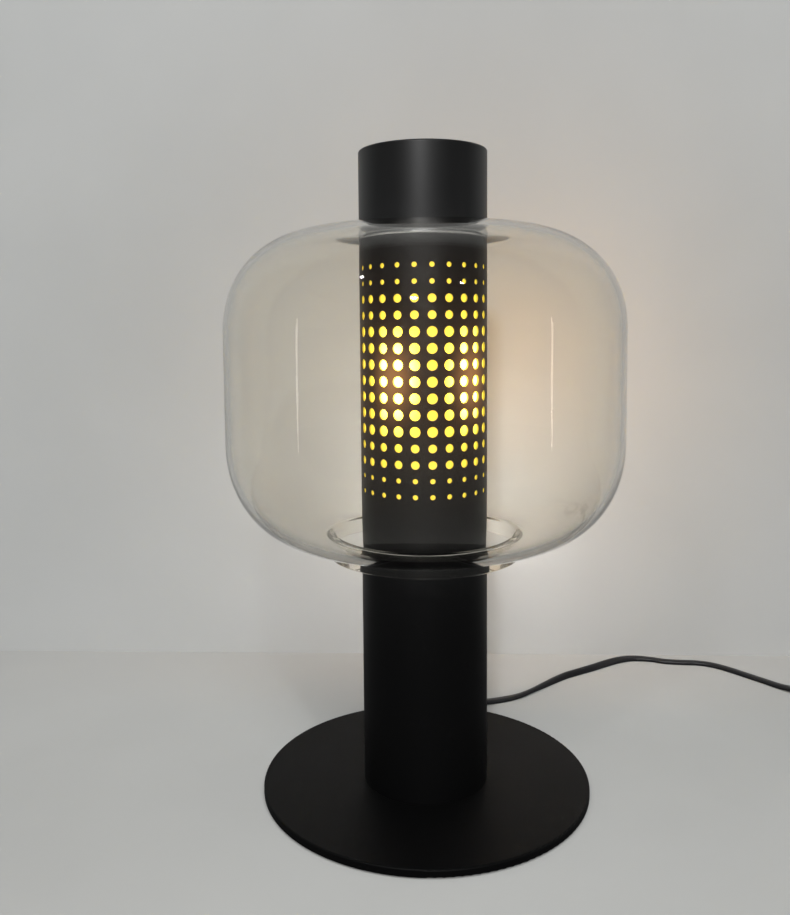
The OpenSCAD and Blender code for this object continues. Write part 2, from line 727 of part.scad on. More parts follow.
// Plug.
module plug_body() {
    w = plug_w / 2;
    color([0.05, 0.05, 0.05]) at_plug() difference() {
        union() {
            rotate([0, 90, 0]) cylinder(r1 = plug_tail_tip_r, r2 = plug_tail_r, h = plug_tail);
            translate([plug_tail - past, 0, 0]) linear_extrude(plug_t, center = true) polygon([
                [0, -plug_tail_w / 2], [plug_nose, -plug_tail_w / 2], [plug_l + past - plug_nose, -w],
                [plug_l + past, -w], [plug_l + past, w], [plug_l + past - plug_nose, w],
                [plug_nose, plug_tail_w / 2], [0, plug_tail_w / 2]]);
        }
        at_pins() translate([0, 0, -pin_root_l - fit_gap]) cylinder(d = pin_root_d + 2 * fit_gap, h = 2 * pin_root_l);
    }
}
module plug_pins() {
    color("silver") at_plug() at_pins() {
        translate([0, 0, -pin_root_l]) cylinder(d = pin_root_d, h = pin_root_l + past);
        cylinder(d = pin_d, h = pin_l - pin_tip);
        translate([0, 0, pin_l - pin_tip]) cylinder(d1 = pin_d, d2 = pin_d - pin_tip, h = pin_tip);
    }
}

base_pad();
base_plate();
base_screws();
column_foot();
column_tube();
coupling_ring();
screen_tube();
diffuser_sleeve();
top_ring();
seat_gasket();
holder_nipple();
holder_nuts();
holder_dome();
holder_body();
holder_insert();
holder_shell();
holder_contact();
inner_lead();
cord_gland();
lead_cord();
switch_base();
switch_cover();
switch_screws();
switch_terminals();
switch_rocker();
switch_lead();
cord_coil();
cord_tie();
plug_lead();
plug_body();
plug_pins();
glass_shade();
cap_gasket();
cap_shell();
cap_collar();
bulb_globe();
bulb_collar();
bulb_cap();
bulb_contact();
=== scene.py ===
import math

import bmesh
import bpy
from mathutils import Matrix, Vector


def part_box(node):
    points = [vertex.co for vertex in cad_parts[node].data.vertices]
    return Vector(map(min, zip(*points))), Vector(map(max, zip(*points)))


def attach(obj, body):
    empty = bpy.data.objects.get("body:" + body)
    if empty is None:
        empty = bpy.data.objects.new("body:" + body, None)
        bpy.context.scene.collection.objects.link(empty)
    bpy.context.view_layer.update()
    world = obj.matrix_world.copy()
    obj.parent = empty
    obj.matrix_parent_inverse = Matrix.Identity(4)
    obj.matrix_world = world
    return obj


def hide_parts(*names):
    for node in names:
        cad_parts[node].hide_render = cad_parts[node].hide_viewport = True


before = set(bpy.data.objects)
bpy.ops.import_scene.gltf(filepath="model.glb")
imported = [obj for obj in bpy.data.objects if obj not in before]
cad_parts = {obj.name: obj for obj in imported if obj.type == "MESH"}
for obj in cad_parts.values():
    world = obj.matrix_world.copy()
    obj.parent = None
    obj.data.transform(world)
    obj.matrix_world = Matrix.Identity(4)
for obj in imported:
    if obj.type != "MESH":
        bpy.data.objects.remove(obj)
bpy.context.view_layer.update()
scene = bpy.context.scene
scene.view_settings.view_transform = "Standard"


# Viewpoint. The lamp is seen from the front, from about the height of the glass's middle and half a metre
# away, by a camera that tilts down a little and leans by a hair, in a tall frame cropped off its centre.
mm = 0.001
frame_px = (790, 915)
focal_px = 887.1
axis_px = (387.1, 397.9)
sensor = 36.0
eye = Vector((0, -561.1, 297.9)) * mm
tilt_down = math.radians(4.61)
swing_left = math.radians(2.37)
lean = math.radians(-0.49)
forward = Vector((
    -math.sin(swing_left) * math.cos(tilt_down),
    math.cos(swing_left) * math.cos(tilt_down),
    -math.sin(tilt_down),
))
level = Vector((math.cos(swing_left), math.sin(swing_left), 0))
above = level.cross(forward)
right = level * math.cos(lean) + above * math.sin(lean)
upward = above * math.cos(lean) - level * math.sin(lean)
viewpoint = bpy.data.objects.new("viewpoint", bpy.data.cameras.new("viewpoint"))
scene.collection.objects.link(viewpoint)
viewpoint.matrix_world = Matrix((
    (right.x, upward.x, -forward.x, eye.x),
    (right.y, upward.y, -forward.y, eye.y),
    (right.z, upward.z, -forward.z, eye.z),
    (0, 0, 0, 1),
))
viewpoint.data.sensor_width = sensor
viewpoint.data.lens = focal_px * sensor / max(frame_px)
viewpoint.data.shift_x = (frame_px[0] / 2 - axis_px[0]) / max(frame_px)
viewpoint.data.shift_y = (axis_px[1] - frame_px[1] / 2) / max(frame_px)
viewpoint.data.clip_start = 10 * mm
scene.camera = viewpoint


# In-line switch. A flat box of black plastic in two halves that are screwed together from below, with its
# rocker in a window of the cover. The moulder rounds the outer edges and leaves a fine spark texture.
switch_at = Vector((330, 105)) * mm
switch_turn = math.radians(-51)
switch_half = 31 * mm
switch_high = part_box("switch_cover")[1].z
switch_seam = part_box("switch_base")[1].z
edge_band = 0.3 * mm
same_place = 0.001 * mm
flat_angle = math.radians(2)
edge_angle = math.radians(35)
crease_angle = math.radians(40)
round_steps = 3
drift_dark = 0.82
drift_pale = 1.12
grain_strength = 0.6
line_strength = 0.4
line_smooth = 0.08
line_rough = 0.1


def softened(node, body, stuff, roundings):
    """A copy of a moulded piece, with its sharp edges rounded, that stands for the plain solid.

    Each rounding is its radius and the lowest and highest place of the edges that it takes.
    """
    shape = bmesh.new()
    shape.from_mesh(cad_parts[node].data)
    bmesh.ops.remove_doubles(shape, verts=shape.verts, dist=same_place)
    bmesh.ops.dissolve_limit(shape, angle_limit=flat_angle, verts=shape.verts, edges=shape.edges)
    for radius, low, high in roundings:
        sharp = [
            edge for edge in shape.edges
            if len(edge.link_faces) == 2 and edge.calc_face_angle() > edge_angle
            and all(low <= corner.co.z <= high for corner in edge.verts)
        ]
        bmesh.ops.bevel(
            shape, geom=sharp, offset=radius, segments=round_steps, profile=0.5,
            affect="EDGES", clamp_overlap=True,
        )
    for face in shape.faces:
        face.smooth = True
    mesh = bpy.data.meshes.new(node + "_moulded")
    shape.to_mesh(mesh)
    mesh.set_sharp_from_angle(angle=crease_angle)
    piece = added(mesh)
    piece.modifiers.new("flats", "WEIGHTED_NORMAL").keep_sharp = True
    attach(piece, body)
    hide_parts(node)
    return dressed(piece, stuff)


def added(mesh):
    """A new object in the scene for a mesh, with the mesh's name."""
    piece = bpy.data.objects.new(mesh.name, mesh)
    scene.collection.objects.link(piece)
    return piece


def dressed(piece, stuff):
    """A piece in its one material."""
    piece.data.materials.clear()
    piece.data.materials.append(stuff)
    return piece


def wiring(tree):
    """Functions that add a node with its settings to a tree of nodes, and that join two sockets in it."""
    def add(kind, **settings):
        node = tree.nodes.new(kind)
        for key, value in settings.items():
            if key in node.inputs:
                node.inputs[key].default_value = value
            else:
                setattr(node, key, value)
        return node

    return add, tree.links.new


def material(name):
    """A new material, its surface shader, and the functions that wire it."""
    stuff = bpy.data.materials.new(name)
    stuff.use_nodes = True
    return stuff, stuff.node_tree.nodes["Principled BSDF"], *wiring(stuff.node_tree)


def grained(name, colour, rough, grain, depth, patch=35.0, spread=0.05, shine=0.5):
    """A moulded or coated surface: its colour and gloss drift a little, over a fine grain of some depth."""
    stuff, shader, add, join = material(name)
    place = add("ShaderNodeTexCoord")
    drift = add("ShaderNodeTexNoise", Scale=patch, Detail=5.0)
    fine = add("ShaderNodeTexNoise", Scale=grain, Detail=3.0)
    tint = add("ShaderNodeValToRGB")
    tint.color_ramp.elements[0].color = (*[drift_dark * c for c in colour], 1)
    tint.color_ramp.elements[1].color = (*[drift_pale * c for c in colour], 1)
    gloss = add("ShaderNodeMapRange", **{"To Min": rough - spread, "To Max": rough + spread})
    relief = add("ShaderNodeBump", Strength=grain_strength, Distance=depth)
    for texture in (drift, fine):
        join(place.outputs["Object"], texture.inputs["Vector"])
    join(drift.outputs["Fac"], tint.inputs["Fac"])
    join(tint.outputs["Color"], shader.inputs["Base Color"])
    join(drift.outputs["Fac"], gloss.inputs["Value"])
    join(gloss.outputs["Result"], shader.inputs["Roughness"])
    join(fine.outputs["Fac"], relief.inputs["Height"])
    join(relief.outputs["Normal"], shader.inputs["Normal"])
    shader.inputs["Specular IOR Level"].default_value = shine
    return stuff


def plated(name, colour, rough, stretch, depth):
    """Bare or plated metal with fine lines from the tool, drawn out along an axis by the stretch given."""
    stuff, shader, add, join = material(name)
    place = add("ShaderNodeTexCoord")
    drawn = add("ShaderNodeMapping", Scale=stretch)
    lines = add("ShaderNodeTexNoise", Scale=1.0, Detail=4.0)
    gloss = add("ShaderNodeMapRange", **{"To Min": rough - line_smooth, "To Max": rough + line_rough})
    relief = add("ShaderNodeBump", Strength=line_strength, Distance=depth)
    join(place.outputs["Object"], drawn.inputs["Vector"])
    join(drawn.outputs["Vector"], lines.inputs["Vector"])
    join(lines.outputs["Fac"], gloss.inputs["Value"])
    join(gloss.outputs["Result"], shader.inputs["Roughness"])
    join(lines.outputs["Fac"], relief.inputs["Height"])
    join(relief.outputs["Normal"], shader.inputs["Normal"])
    shader.inputs["Base Color"].default_value = (*colour, 1)
    shader.inputs["Metallic"].default_value = 1.0
    return stuff


switch_plastic = grained(
    "switch_plastic", (0.014, 0.014, 0.015), rough=0.46, grain=2600.0, depth=0.03 * mm, shine=0.4,
)
rocker_plastic = grained(
    "rocker_plastic", (0.02, 0.02, 0.021), rough=0.3, grain=700.0, depth=0.01 * mm, shine=0.5,
)
zinc_plate = plated(
    "zinc_plate", (0.56, 0.57, 0.6), rough=0.34, stretch=(900.0, 900.0, 60.0), depth=0.01 * mm,
)
turned_brass = plated(
    "turned_brass", (0.78, 0.56, 0.26), rough=0.3, stretch=(60.0, 60.0, 1400.0), depth=0.01 * mm,
)
switch_top = (2.0 * mm, switch_high - edge_band, switch_high)
switch_floor = (1.2 * mm, 0, edge_band)
seam = (0.25 * mm, switch_seam - edge_band, switch_seam + edge_band)
rocker_top = (0.5 * mm, switch_high - 4 * mm, 1)
switch_cover = softened("switch_cover", "stand", switch_plastic, [switch_top, seam])
switch_base = softened("switch_base", "stand", switch_plastic, [switch_floor, seam])
switch_rocker = softened("switch_rocker", "rocker", rocker_plastic, [rocker_top])
switch_screws = dressed(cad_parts["switch_screws"], zinc_plate)
switch_terminals = dressed(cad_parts["switch_terminals"], turned_brass)


# Lead from the lamp to the switch. A flat twin lead, 6 by 3.6 mm, in smooth black PVC. It leaves the strain
# relief behind the column, comes down past the edge of the base and turns over once along the table.
lead_wide = 6.0 * mm
lead_thick = 3.6 * mm
lead_spare = (lead_wide - lead_thick) / 2
lead_steps = 8
gland_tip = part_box("cord_gland")[1].y
gland_high = (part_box("cord_gland")[0].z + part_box("cord_gland")[1].z) / 2
gland_lift = gland_high - lead_thick / 2
switch_lift = 4.2 * mm
switch_run = 8 * mm
switch_along = Vector((math.cos(switch_turn), math.sin(switch_turn)))
switch_in = switch_at - switch_along * switch_half
switch_in_run = switch_in - switch_along * switch_run
lamp_route = [
    (0, gland_tip, gland_lift, 0), (0, 0.078, gland_lift, 0), (0.001, 0.090, 0.016, 0),
    (0.005, 0.100, 0.0115, 0), (0.013, 0.107, 0.0075, 0), (0.025, 0.112, 0.0045, 0),
    (0.037, 0.116, 0.002, 0), (0.050, 0.120, 0.0005, 0), (0.062, 0.125, 0, 0), (0.074, 0.131, 0, 15),
    (0.085, 0.140, 0, 35), (0.096, 0.150, 0, 60), (0.107, 0.161, 0, 80), (0.119, 0.172, 0, 90),
    (0.132, 0.181, 0, 90), (0.145, 0.190, 0, 100), (0.158, 0.200, 0, 120), (0.171, 0.209, 0, 145),
    (0.184, 0.214, 0, 165), (0.198, 0.213, 0, 180), (0.211, 0.208, 0, 180), (0.225, 0.206, 0, 180),
    (0.238, 0.205, 0, 180), (0.250, 0.200, 0, 180), (0.261, 0.190, 0, 180), (0.271, 0.178, 0, 180),
    (0.281, 0.166, 0, 180), (0.290, 0.154, 0.0005, 180), (0.299, 0.143, 0.0025, 180),
    (*switch_in_run, switch_lift, 180), (*switch_in, switch_lift, 180),
]


def eased(route, steps=5):
    """A smooth run through all the points of a route, with a number of steps between neighbours."""
    ends = [route[0], *route, route[-1]]
    run = []
    for four in zip(ends, ends[1:], ends[2:], ends[3:]):
        for k in range(steps):
            t = k / steps
            run.append([
                b + (c - a) * t / 2 + (2 * a - 5 * b + 4 * c - d) * t ** 2 / 2
                + (3 * b - a - 3 * c + d) * t ** 3 / 2
                for a, b, c, d in zip(*four)
            ])
    return run + [list(route[-1])]


def middle_line(run):
    """The middle of a lead whose underside and roll are given at each point of its run."""
    return [
        Vector((x, y, lift + lead_thick / 2 + lead_spare * abs(math.sin(math.radians(roll)))))
        for x, y, lift, roll in run
    ]


def flat_lead(name, run):
    """A flat lead with round edges, swept along its run and rolled about it as the run says."""
    section = []
    for side in (1, -1):
        for k in range(lead_steps + 1):
            a = math.radians(-90 + 180 * k / lead_steps)
            section.append((
                side * (lead_spare + lead_thick / 2 * math.cos(a)),
                side * lead_thick / 2 * math.sin(a),
            ))
    middles = middle_line(run)
    shape = bmesh.new()
    rings = []
    for i, middle in enumerate(middles):
        ahead = (middles[min(i + 1, len(middles) - 1)] - middles[max(i - 1, 0)]).normalized()
        across = ahead.cross(Vector((0, 0, 1))).normalized()
        over = across.cross(ahead)
        roll = math.radians(run[i][3])
        wide = across * math.cos(roll) + over * math.sin(roll)
        thick = over * math.cos(roll) - across * math.sin(roll)
        rings.append([shape.verts.new(middle + wide * u + thick * v) for u, v in section])
    for low, high in zip(rings, rings[1:]):
        for j in range(len(section)):
            k = (j + 1) % len(section)
            shape.faces.new((low[j], low[k], high[k], high[j])).smooth = True
    shape.faces.new(rings[0])
    shape.faces.new(rings[-1])
    bmesh.ops.recalc_face_normals(shape, faces=shape.faces)
    mesh = bpy.data.meshes.new(name)
    shape.to_mesh(mesh)
    return added(mesh)


lead_pvc = grained(
    "lead_pvc", (0.011, 0.011, 0.012), rough=0.4, grain=1200.0, depth=0.012 * mm, shine=0.45,
)
lamp_run = eased(lamp_route)
lamp_lead = dressed(flat_lead("lamp_lead", lamp_run), lead_pvc)
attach(lamp_lead, "stand")
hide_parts("lead_cord")


# Plug. A two-pin plug of the flat kind, moulded onto the end of the lead in black PVC, with a tapered tail
# as its strain relief. The pins are nickel-plated brass, turned round and chamfered at their tips.
nickel_plate = plated(
    "nickel_plate", (0.7, 0.68, 0.64), rough=0.22, stretch=(900.0, 70.0, 900.0), depth=0.006 * mm,
)
plug_round = (1.6 * mm, -1, 1)
plug_pvc = grained(
    "plug_pvc", (0.012, 0.012, 0.013), rough=0.44, grain=1800.0, depth=0.02 * mm, shine=0.45,
)
plug_body = softened("plug_body", "stand", plug_pvc, [plug_round])
plug_pins = dressed(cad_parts["plug_pins"], nickel_plate)


# Tie. A strip of black hook-and-loop fabric, wrapped once around the side of the coil and pressed onto
# itself, with the plain weave of its back to the outside.
weave_pitch = 0.9 * mm
weave_depth = 0.2 * mm
tie_round = (0.35 * mm, -1, 1)


def woven(name, colour):
    """A narrow woven tape: two crossing sets of threads, with fuzz that dulls it."""
    stuff, shader, add, join = material(name)
    place = add("ShaderNodeTexCoord")
    threads = [
        add("ShaderNodeTexWave", Scale=1 / weave_pitch / 3, Distortion=0.6, bands_direction=axis)
        for axis in ("DIAGONAL", "Z")
    ]
    crossing = add("ShaderNodeMath", operation="MAXIMUM")
    tint = add("ShaderNodeValToRGB")
    tint.color_ramp.elements[0].color = (*[0.4 * c for c in colour], 1)
    tint.color_ramp.elements[1].color = (*colour, 1)
    relief = add("ShaderNodeBump", Strength=0.9, Distance=weave_depth)
    for wave, side in zip(threads, crossing.inputs):
        join(place.outputs["Object"], wave.inputs["Vector"])
        join(wave.outputs["Fac"], side)
    join(crossing.outputs[0], tint.inputs["Fac"])
    join(tint.outputs["Color"], shader.inputs["Base Color"])
    join(crossing.outputs[0], relief.inputs["Height"])
    join(relief.outputs["Normal"], shader.inputs["Normal"])
    shader.inputs["Roughness"].default_value = 0.85
    shader.inputs["Sheen Weight"].default_value = 0.3
    return stuff


tie_tape = woven("tie_tape", (0.035, 0.035, 0.037))
cord_tie = softened("cord_tie", "stand", tie_tape, [tie_round])


# Lead from the switch to the plug. The same flat lead, 1.4 m of it, wound on its edge into a coil of two
# layers that spirals in, climbs and spirals out again. The tie holds the coil, and the plug lies beside it.
coil_at = Vector((332, 18)) * mm
coil_loops = 6
coil_small = 26.5 * mm
coil_gap = 0.6 * mm
coil_steps = 48
coil_lift = 1.15 * mm
coil_pitch = lead_thick + coil_gap
coil_layer = lead_wide + coil_gap
coil_x = coil_at.x + coil_small + coil_pitch * coil_loops / 2
switch_out = switch_at + switch_along * switch_half
switch_out_run = switch_out + switch_along * switch_run
plug_middle = 6.5 * mm
plug_reach = 56 * mm
plug_lift = plug_middle - lead_thick / 2
plug_at = coil_at.y - lead_wide - plug_reach


def coil_point(turn):
    """Where the coiled lead is after a number of turns, clockwise from its right side."""
    out = coil_small + coil_pitch * abs(turn - coil_loops / 2)
    climb = min(max((turn - coil_loops / 2) * 2 + 0.5, 0), 1)
    a = math.tau * turn
    return [
        coil_at.x + out * math.cos(a), coil_at.y - out * math.sin(a),
        coil_lift + coil_layer * climb * climb * (3 - 2 * climb), 90,
    ]


coil_in_route = [
    (*switch_out, switch_lift, 0), (*switch_out_run, switch_lift, 0), (0.362, 0.064, 0.0025, 30),
    (0.367, 0.054, 0.0015, 60), (0.370, 0.043, coil_lift, 90), (coil_x, 0.034, coil_lift, 90),
    (coil_x, coil_at.y + lead_wide, coil_lift, 90),
]
plug_route = [
    (coil_x, coil_at.y - lead_wide, coil_lift + coil_layer, 90), (coil_x, 0.002, coil_lift + coil_layer, 90),
    (coil_x, -0.010, 0.0065, 75), (coil_x, -0.020, 0.005, 50), (coil_x, -0.028, 0.0046, 25),
    (coil_x, plug_at + switch_run, plug_lift, 0), (coil_x, plug_at, plug_lift, 0),
]
coil_run = [coil_point(k / coil_steps) for k in range(coil_loops * coil_steps + 1)]
mains_run = eased(coil_in_route) + coil_run + eased(plug_route)
mains_lead = dressed(flat_lead("mains_lead", mains_run), lead_pvc)
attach(mains_lead, "stand")
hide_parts("switch_lead", "cord_coil", "plug_lead")


# Base. A disc of 5 mm steel plate, turned, with a small round on its edges and a satin black powder coat.
# A thin foam pad is stuck underneath, and three screws from below hold the column's foot on it.
coat_black = (0.0016, 0.0016, 0.0017)
base_shine = 0.1
coat_rough = 0.52
coat_grain = 1500.0
coat_depth = 0.006 * mm


def powder_coat(name, shine, rough):
    """Satin black powder coat, with the fine orange peel of a baked finish."""
    return grained(name, coat_black, rough, coat_grain, coat_depth, patch=18.0, spread=0.04, shine=shine)


base_coat = powder_coat("base_coat", base_shine, coat_rough)
pad_foam = grained(
    "pad_foam", (0.07, 0.07, 0.072), rough=0.9, grain=1400.0, depth=0.25 * mm, shine=0.2,
)
dressed(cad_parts["base_plate"], base_coat)
dressed(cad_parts["base_pad"], pad_foam)
for node in ("base_screws", "column_foot"):
    dressed(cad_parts[node], zinc_plate)


# Column. A steel tube of 80 mm, in the same coat as the base, that stands on the foot and hides it. A
# black rubber strain relief snaps into a hole low in its back, and an inner lead runs up to the lampholder.
gland_rubber = grained(
    "gland_rubber", (0.013, 0.013, 0.013), rough=0.55, grain=1600.0, depth=0.03 * mm, shine=0.35,
)
column_shine = 0.14
column_coat = powder_coat("column_coat", column_shine, coat_rough)
dressed(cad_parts["column_tube"], column_coat)
dressed(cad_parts["cord_gland"], gland_rubber)
dressed(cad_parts["inner_lead"], lead_pvc)
dressed(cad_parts["coupling_ring"], zinc_plate)


# Screen and its lit sleeve. The upper tube is drilled with rows of round holes, wide in the middle and
# narrow at the ends, and coated a little smoother than the column. A frosted sleeve lines it and glows
# with the bulb behind.
sleeve_colour = (0.12, 0.08, 0.01)
frost_grain = 3000.0
frost_depth = 0.02 * mm
glow_colour = (1.0, 0.74, 0.065)
glow_z = 266 * mm
glow_plain = 1.1
glow_middle = 0.35
glow_hot = 34.0
hot_spread = 19 * mm
middle_spread = 50 * mm
hot_lobes = 5
hot_turn = math.radians(-27)
rear_gain = 1.0
# The coat's warm glow about the holes and the light on the holes' walls are painted on it, as emission.
painted_spill_colour = (1.0, 0.46, 0.16)
painted_spill_plain = 0.03
painted_spill_hot = 0.36
painted_hole_light = 0.85
screen_shine = 0.22
smoother_rough = 0.44
screen_skin = 39.6 * mm


def maths(add, join):
    """A function that adds a maths node to a material. Its terms are sockets or plain numbers."""
    def step(kind, *terms):
        node = add("ShaderNodeMath", operation=kind)
        for socket, term in zip(node.inputs, terms):
            if isinstance(term, bpy.types.NodeSocket):
                join(term, socket)
            else:
                socket.default_value = term
        return node.outputs[0]

    return step


def lamplight(add, join, plain, middle, hot):
    """Light by place: plain all over, more about the bulb's middle, and most in lobes at its filaments."""
    step = maths(add, join)
    place = add("ShaderNodeTexCoord")
    spot = add("ShaderNodeSeparateXYZ")
    join(place.outputs["Object"], spot.inputs[0])
    rise = step("SUBTRACT", spot.outputs["Z"], glow_z)

    def bell(spread):
        share = step("DIVIDE", rise, spread)
        return step("EXPONENT", step("MULTIPLY", step("MULTIPLY", share, share), -1.0))

    turn = step("ARCTAN2", spot.outputs["X"], step("MULTIPLY", spot.outputs["Y"], -1.0))
    wave = step("COSINE", step("MULTIPLY", step("SUBTRACT", turn, hot_turn), float(hot_lobes)))
    lobe = step("POWER", step("MULTIPLY_ADD", wave, 0.5, 0.5), 2.0)
    bright = step("MULTIPLY", step("MULTIPLY", bell(hot_spread), lobe), hot)
    light = step("ADD", step("MULTIPLY_ADD", bell(middle_spread), middle, plain), bright)
    behind = step("MULTIPLY_ADD", step("COSINE", turn), -0.5, 0.5)
    return step("MULTIPLY", light, step("MULTIPLY_ADD", step("MULTIPLY", behind, behind), rear_gain, 1.0))


def lit_sleeve(name):
    """Frosted film with the bulb's warm light in it."""
    stuff, shader, add, join = material(name)
    join(lamplight(add, join, glow_plain, glow_middle, glow_hot), shader.inputs["Emission Strength"])
    place = add("ShaderNodeTexCoord")
    frost = add("ShaderNodeTexNoise", Scale=frost_grain, Detail=2.0)
    relief = add("ShaderNodeBump", Strength=0.5, Distance=frost_depth)
    join(place.outputs["Object"], frost.inputs["Vector"])
    join(frost.outputs["Fac"], relief.inputs["Height"])
    join(relief.outputs["Normal"], shader.inputs["Normal"])
    shader.inputs["Base Color"].default_value = (*sleeve_colour, 1)
    shader.inputs["Roughness"].default_value = 0.6
    shader.inputs["Emission Color"].default_value = (*glow_colour, 1)
    return stuff


def with_painted_spill(stuff):
    """A coat with a painted glow about its holes, standing for the lit holes' spill over the metal, and
    painted light on the holes' walls.
    """
    shader = stuff.node_tree.nodes["Principled BSDF"]
    add, join = wiring(stuff.node_tree)
    step = maths(add, join)
    place = add("ShaderNodeTexCoord")
    spot = add("ShaderNodeSeparateXYZ")
    join(place.outputs["Object"], spot.inputs[0])
    across = step("MULTIPLY", spot.outputs["X"], spot.outputs["X"])
    out = step("SQRT", step("MULTIPLY_ADD", spot.outputs["Y"], spot.outputs["Y"], across))
    within = step("LESS_THAN", out, screen_skin)
    spill = lamplight(add, join, 0.0, painted_spill_plain, painted_spill_hot)
    tint = add("ShaderNodeValToRGB")
    tint.color_ramp.elements[0].color = (*painted_spill_colour, 1)
    tint.color_ramp.elements[1].color = (*glow_colour, 1)
    join(within, tint.inputs["Fac"])
    join(tint.outputs["Color"], shader.inputs["Emission Color"])
    join(step("MULTIPLY_ADD", within, painted_hole_light, spill), shader.inputs["Emission Strength"])
    return stuff


# The screen's coat carries painted glow and painted light about its holes.
screen_coat = with_painted_spill(powder_coat("screen_coat", screen_shine, smoother_rough))
dressed(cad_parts["screen_tube"], screen_coat)
dressed(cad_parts["diffuser_sleeve"], lit_sleeve("lit_sleeve"))
dressed(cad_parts["top_ring"], column_coat)


# Lampholder. A white plastic holder stands on a threaded nipple in the column's web, held by two nuts. Its
# glazed insert carries a brass screw shell and a sprung contact.
holder_plastic = grained(
    "holder_plastic", (0.72, 0.72, 0.7), rough=0.38, grain=900.0, depth=0.015 * mm,
)
glazed = grained(
    "glazed_ceramic", (0.8, 0.78, 0.72), rough=0.16, grain=120.0, depth=0.03 * mm,
)
for node in ("holder_nipple", "holder_nuts"):
    dressed(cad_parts[node], zinc_plate)
for node in ("holder_dome", "holder_body"):
    dressed(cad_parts[node], holder_plastic)
dressed(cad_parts["holder_insert"], glazed)
for node in ("holder_shell", "holder_contact"):
    dressed(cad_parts[node], turned_brass)


# Bulb. A frosted glass globe on a white plastic collar, with a nickel-plated screw cap and a brass contact
# at its foot. It screws down into the lampholder, and its light fills the sleeve.
bulb_colour = (1.0, 0.62, 0.24)
bulb_light = 4.0
bulb_frost = grained(
    "bulb_frost", (0.86, 0.84, 0.78), rough=0.5, grain=2500.0, depth=0.01 * mm,
)
bulb_shader = bulb_frost.node_tree.nodes["Principled BSDF"]
bulb_shader.inputs["Emission Color"].default_value = (*bulb_colour, 1)
bulb_shader.inputs["Emission Strength"].default_value = bulb_light
dressed(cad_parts["bulb_globe"], bulb_frost)
dressed(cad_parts["bulb_collar"], holder_plastic)
dressed(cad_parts["bulb_cap"], nickel_plate)
dressed(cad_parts["bulb_contact"], turned_brass)


# Glass. A clear blown jar with a faint warm tint, 249 mm wide, with a flat top, full round shoulders and an
# open neck below. It hangs by the flat of its top, and both of its rims are fire-polished round.
glass_low, glass_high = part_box("glass_shade")
glass_radius = (glass_high.x - glass_low.x) / 2
glass_wall = 3.2 * mm
half_wall = glass_wall / 2
glass_hole = 37 * mm
flat_radius = 56 * mm
neck_radius = 61 * mm
neck_high = 9 * mm
top_corner = 65 * mm
low_corner = 67 * mm
corner_power = 2.2
corner_steps = 40
lathe_steps = 192
rim_steps = 8
glass_tint = (1.0, 0.993, 0.962)
glass_depth_tint = (0.3, 0.24, 0.14)
glass_density = 22.0
glass_index = 1.3
wave_scale = 22.0
wave_depth = 0.3 * mm
shoulder = glass_low.z + neck_high


def swell(inner_r, flat_z, outer_r, side_z):
    """A full round corner from a flat at its inner radius to an upright side at its outer one."""
    corner = []
    for k in range(corner_steps + 1):
        a = math.pi / 2 * k / corner_steps
        corner.append((
            inner_r + (outer_r - inner_r) * math.sin(a) ** (2 / corner_power),
            side_z + (flat_z - side_z) * math.cos(a) ** (2 / corner_power),
        ))
    return corner


def rim(middle, start):
    """A half round of the glass's own thickness, clockwise from the angle where it starts."""
    bow = []
    for k in range(1, rim_steps):
        a = start - math.pi * k / rim_steps
        bow.append((middle[0] + half_wall * math.cos(a), middle[1] + half_wall * math.sin(a)))
    return bow


def lathe(name, outline):
    """A closed outline of radius and height, turned about the lamp's axis."""
    shape = bmesh.new()
    rings = []
    for k in range(lathe_steps):
        a = math.tau * k / lathe_steps
        rings.append([shape.verts.new((r * math.cos(a), r * math.sin(a), z)) for r, z in outline])
    for k, ring in enumerate(rings):
        onward = rings[(k + 1) % lathe_steps]
        for j in range(len(outline)):
            i = (j + 1) % len(outline)
            shape.faces.new((ring[j], onward[j], onward[i], ring[i])).smooth = True
    bmesh.ops.recalc_face_normals(shape, faces=shape.faces)
    mesh = bpy.data.meshes.new(name)
    shape.to_mesh(mesh)
    return added(mesh)


def blown_glass(name):
    """Clear glass with the slightest unevenness of a blown surface, darker where it is seen edge on."""
    stuff, shader, add, join = material(name)
    depth = add("ShaderNodeVolumeAbsorption", Color=(*glass_depth_tint, 1), Density=glass_density)
    join(depth.outputs["Volume"], stuff.node_tree.nodes["Material Output"].inputs["Volume"])
    place = add("ShaderNodeTexCoord")
    waves = add("ShaderNodeTexNoise", Scale=wave_scale, Detail=0.0)
    relief = add("ShaderNodeBump", Strength=0.5, Distance=wave_depth)
    join(place.outputs["Object"], waves.inputs["Vector"])
    join(waves.outputs["Fac"], relief.inputs["Height"])
    join(relief.outputs["Normal"], shader.inputs["Normal"])
    shader.inputs["Base Color"].default_value = (*glass_tint, 1)
    shader.inputs["Roughness"].default_value = 0.0
    shader.inputs["IOR"].default_value = glass_index
    shader.inputs["Transmission Weight"].default_value = 1.0
    return stuff


side_top = glass_high.z - top_corner
side_low = shoulder + low_corner
bore = glass_radius - glass_wall
outer_top = swell(flat_radius, glass_high.z, glass_radius, side_top)
outer_low = swell(neck_radius, shoulder, glass_radius, side_low)[::-1]
inner_low = swell(neck_radius - glass_wall, shoulder + glass_wall, bore, side_low)
inner_top = swell(flat_radius, glass_high.z - glass_wall, bore, side_top)[::-1]
neck_rim = rim((neck_radius - half_wall, glass_low.z + half_wall), 0.0)
hole_rim = rim((glass_hole + half_wall, glass_high.z - half_wall), 1.5 * math.pi)
outline = outer_top + outer_low + neck_rim + inner_low + inner_top + hole_rim
glass_shade = dressed(lathe("blown_shade", outline), blown_glass("blown_glass"))
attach(glass_shade, "glass")
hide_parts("glass_shade")
glass_shade.visible_shadow = False
